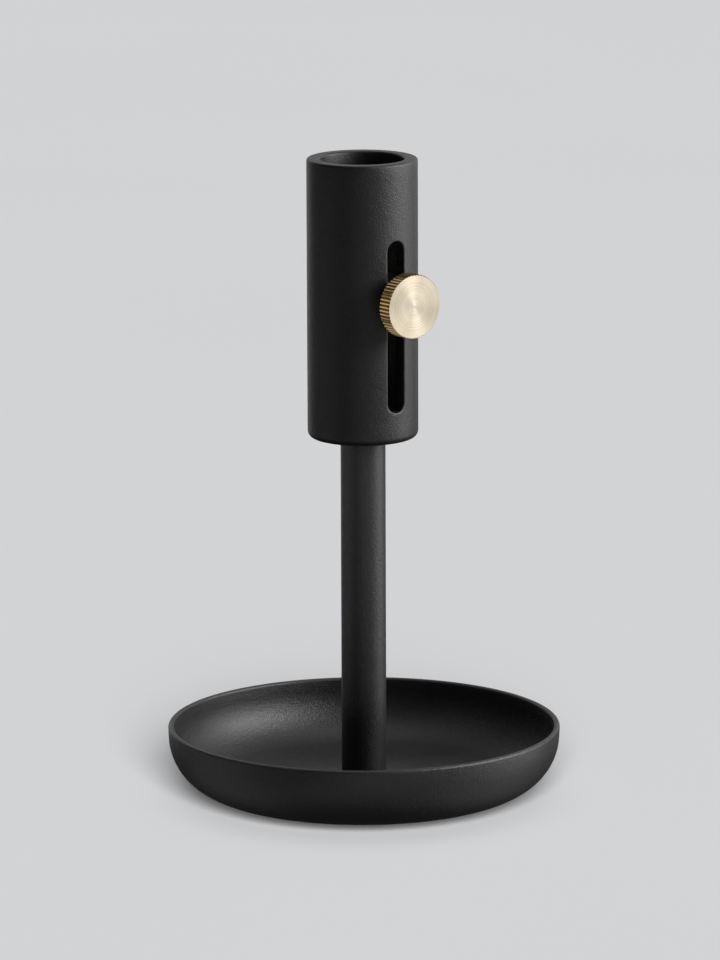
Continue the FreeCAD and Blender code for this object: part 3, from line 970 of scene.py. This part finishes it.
world = bpy.data.worlds.new("studio")
bpy.context.scene.world = world
world.use_nodes = True
tree = world.node_tree
sky = tree.nodes["Background"]
seen = tree.nodes.new("ShaderNodeLightPath").outputs["Is Camera Ray"]
tree.links.new(spread(tree, seen, 0, 1, AMBIENT, BACKDROP), sky.inputs["Strength"])
sky.inputs["Color"].default_value = (0.985, 0.995, 1.0, 1)


def lamp(name, kind, receivers, energy, way):
    """A light that shines against the direction way, and only on one group of pieces."""
    light = bpy.data.objects.new(name, bpy.data.lights.new(name, kind))
    light.data.energy = energy
    light.light_linking.receiver_collection = receivers
    light.visible_camera = False
    light.rotation_mode = "QUATERNION"
    light.rotation_quaternion = way.to_track_quat("Z", "Y")
    bpy.context.scene.collection.objects.link(light)
    return light


def softbox(name, receivers, place_at, size, radiance, way):
    """A flat lamp of a given size, whose face has a given radiance."""
    box = lamp(name, "AREA", receivers, math.pi * size[0] * size[1] * radiance, way)
    box.data.shape = "RECTANGLE"
    box.data.size, box.data.size_y = size
    box.location = place_at


softboxes = (   # name, lit pieces, degrees to the right of straight ahead, height, size, radiance
    ("main_softbox", both, 101, 0.40, (0.53, 0.34), 13),
    ("low_softbox", both, 85, 0.10, (0.34, 0.34), 3),
    ("right_back", both, 45, 0.31, (0.6, 0.6), 0.7),
    ("back_low", both, 0, 0.17, (0.7, 0.7), 0.3),
    ("back_high", both, 0, 0.69, (0.9, 0.9), 0.5),
    ("left_back", both, -32, 0.20, (0.4, 0.6), 0.5),
    ("left", both, -100, 0.30, (0.8, 0.6), 0.08),
    ("left_high", low_pieces, -90, 0.95, (0.8, 0.8), 0.6),
    ("below_front", low_pieces, 180, -0.30, (0.8, 0.8), 0.5),
    ("below_left", low_pieces, -90, -0.30, (0.8, 0.8), 0.4),
    ("below_right", low_pieces, 90, -0.30, (0.8, 0.8), 0.6),
    ("knob_softbox", only_knob, 110, 0.39, (0.3, 0.4), 3.1),
    ("knob_glow", only_knob, 105, 0.02, (1.0, 0.7), 0.88),
    ("knob_low", only_knob, 122, -0.15, (0.3, 0.3), 1.1),
    ("knob_front", only_knob, 165, 0.25, (0.9, 0.9), 0.45),
    ("knob_left", only_knob, -75, 0.05, (0.8, 0.6), 0.95),
)
middle = Vector((0, 0, 0.09))
for name, receivers, turn, height, size, radiance in softboxes:
    stand = towards(turn, 0) * SOFTBOX_DISTANCE + Vector((0, 0, height))
    softbox(name, receivers, stand, size, radiance, stand - middle)
softbox("overhead", low_pieces, Vector((0, 0, 0.8)), (0.6, 0.6), 0.35, Vector((0, 0, 1)))
for name, turn, radiance in (("table_left", -100, 0.65), ("table_front", 175, 0.9), ("table_right", 95, 0.7)):
    softbox(name, both, towards(turn, 0) * TABLE_LAMP_DISTANCE, (0.5, 0.5), radiance, Vector((0, 0, -1)))

suns = (        # name, lit pieces, direction, angle in degrees, energy
    ("high_light", both, towards(80, 80), 24, 0.35),
    ("floor_light", only_floor, towards(176, 20), 28, 6.3),
    ("floor_fill", only_floor, towards(0, 90), 60, 0.38),
)
for name, receivers, way, angle, energy in suns:
    sun = lamp(name, "SUN", receivers, energy, way)
    sun.data.angle = math.radians(angle)
    if receivers is only_floor:
        sun.light_linking.blocker_collection = dish_alone

bpy.context.scene.view_settings.view_transform = "Standard"
